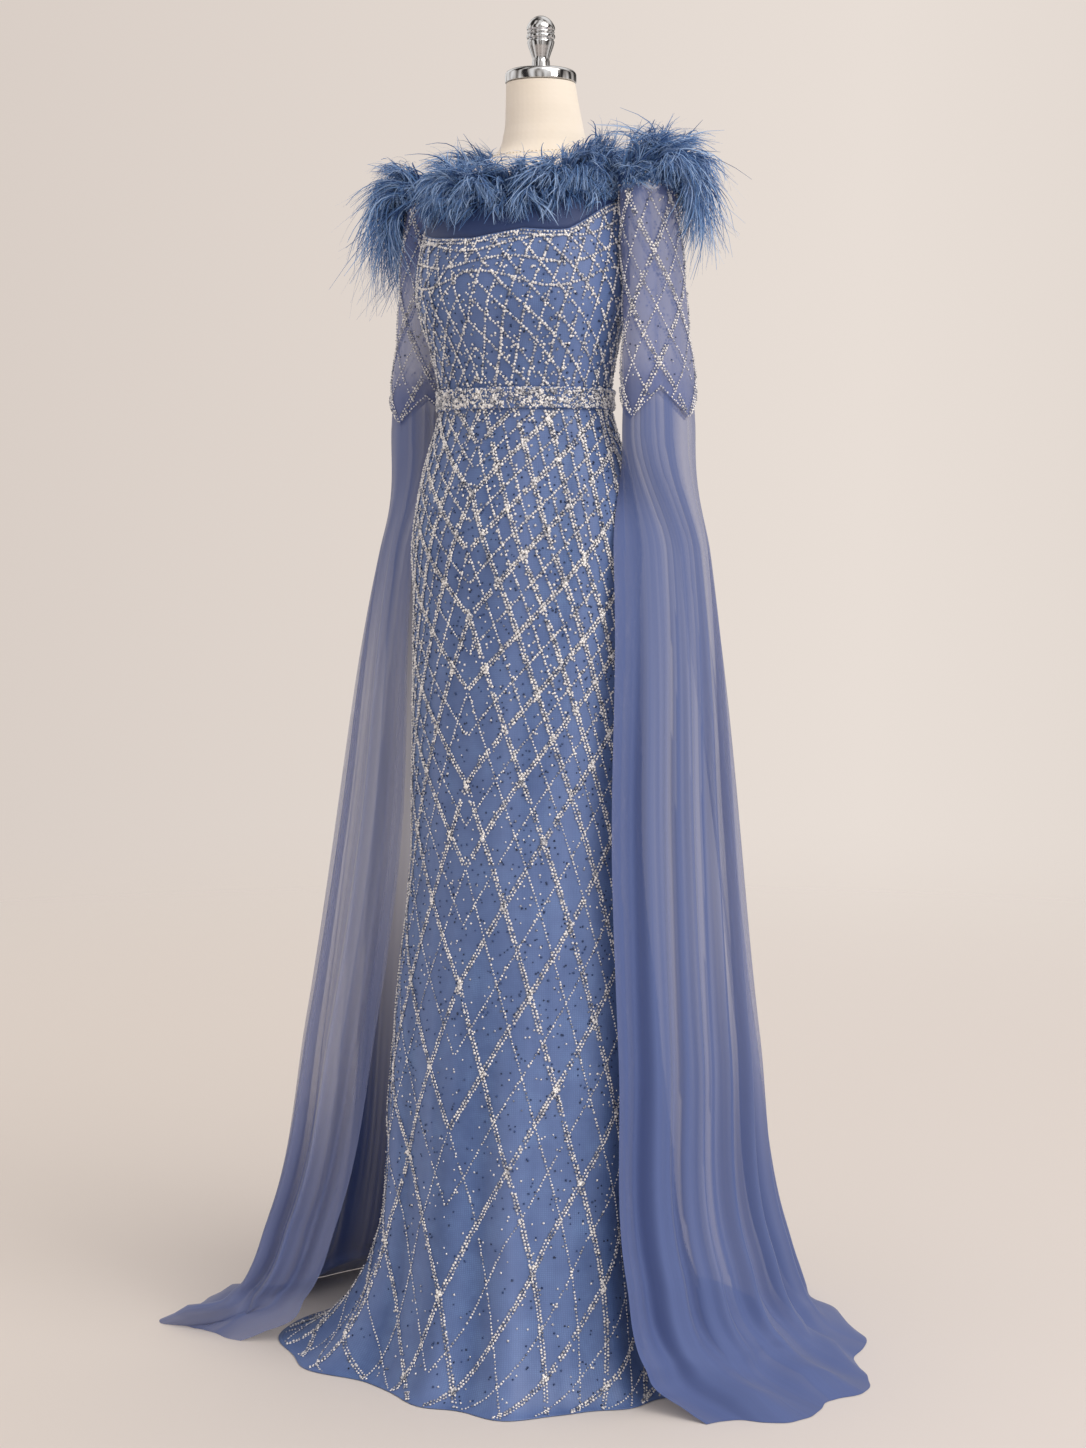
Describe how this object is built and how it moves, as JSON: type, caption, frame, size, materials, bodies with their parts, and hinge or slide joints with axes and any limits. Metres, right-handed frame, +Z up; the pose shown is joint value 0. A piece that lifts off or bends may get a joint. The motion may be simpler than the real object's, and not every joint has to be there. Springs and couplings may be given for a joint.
{
  "type": "off-shoulder evening gown on a limbless dress form",
  "caption": "Beaded off-shoulder sheath gown with feather trim, crystal belt and floor-length cape sleeves, on a free-standing limbless dress form.",
  "frame": {"origin": "centre of the dress form's base, on the floor", "axes": "+Z up, -Y the way the gown's front faces, +X the wearer's left"},
  "size_m": [0.9485, 0.7257, 1.8036],
  "materials": {
    "base_enamel": "satin enamel",
    "pole_steel": "brushed",
    "form_canvas": "matte cotton cover",
    "polished_chrome": "polished",
    "gown_satin": "satin under beaded tulle",
    "belt_crystal": "crystal encrusted",
    "sleeve_tulle": "sheer tulle",
    "trim_feather": "ostrich feather"
  },
  "bodies": {
    "root": {"form_base": "base_enamel", "form_pole": "pole_steel", "form_torso": "form_canvas", "neck_cap": "polished_chrome", "finial": "polished_chrome", "bodice_front": "gown_satin", "bodice_back_left": "gown_satin", "bodice_back_right": "gown_satin", "belt": "belt_crystal", "skirt_front": "gown_satin", "skirt_back_left": "gown_satin", "skirt_back_right": "gown_satin", "sleeve_left": "sleeve_tulle", "sleeve_right": "sleeve_tulle", "cape_left": "sleeve_tulle", "cape_right": "sleeve_tulle", "trim_front": "trim_feather", "trim_back": "trim_feather", "trim_left": "trim_feather", "trim_right": "trim_feather"}
  },
  "joints": []
}
